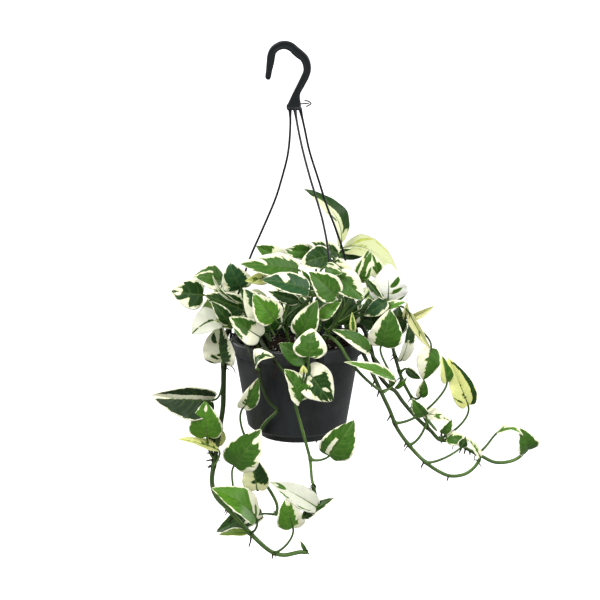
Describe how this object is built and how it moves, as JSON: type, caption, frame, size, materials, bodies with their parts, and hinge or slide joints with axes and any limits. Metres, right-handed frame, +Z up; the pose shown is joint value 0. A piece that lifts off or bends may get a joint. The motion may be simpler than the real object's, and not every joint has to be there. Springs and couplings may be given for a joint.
{
  "type": "potted trailing pothos in a hanging pot",
  "caption": "Trailing pothos with cream and green heart-shaped leaves, growing in a black plastic hanging pot with a moulded hook hanger.",
  "frame": {"origin": "seat of the hook, the inside top of its curve, where it hangs on a rail", "axes": "+Z up; +X to the right and +Y away from the viewer in the front view, in which the open side of the hook is on the left"},
  "size_m": [0.4386, 0.2454, 0.5905],
  "materials": {
    "black_plastic": "moulded, fine satin grain",
    "hanger_plastic": "moulded, satin",
    "potting_soil": "loose peat and bark, dry on top",
    "variegated_foliage": "waxy leaf, green with cream patches"
  },
  "bodies": {
    "root": {"hanger": "hanger_plastic", "pot": "black_plastic", "soil": "potting_soil", "vine_long_left": "variegated_foliage", "vine_front": "variegated_foliage", "vine_front_left": "variegated_foliage", "vine_right_low": "variegated_foliage", "vine_right_middle": "variegated_foliage", "vine_right_back": "variegated_foliage", "vine_right_front": "variegated_foliage", "shoot_right_low": "variegated_foliage", "shoot_right_front": "variegated_foliage", "shoot_middle": "variegated_foliage", "shoot_middle_left": "variegated_foliage", "shoot_front": "variegated_foliage", "shoot_left": "variegated_foliage", "shoot_left_front": "variegated_foliage", "shoot_tall": "variegated_foliage", "shoot_right_new": "variegated_foliage", "vine_back_1": "variegated_foliage", "vine_back_2": "variegated_foliage", "vine_back_3": "variegated_foliage", "vine_back_4": "variegated_foliage"}
  },
  "joints": []
}
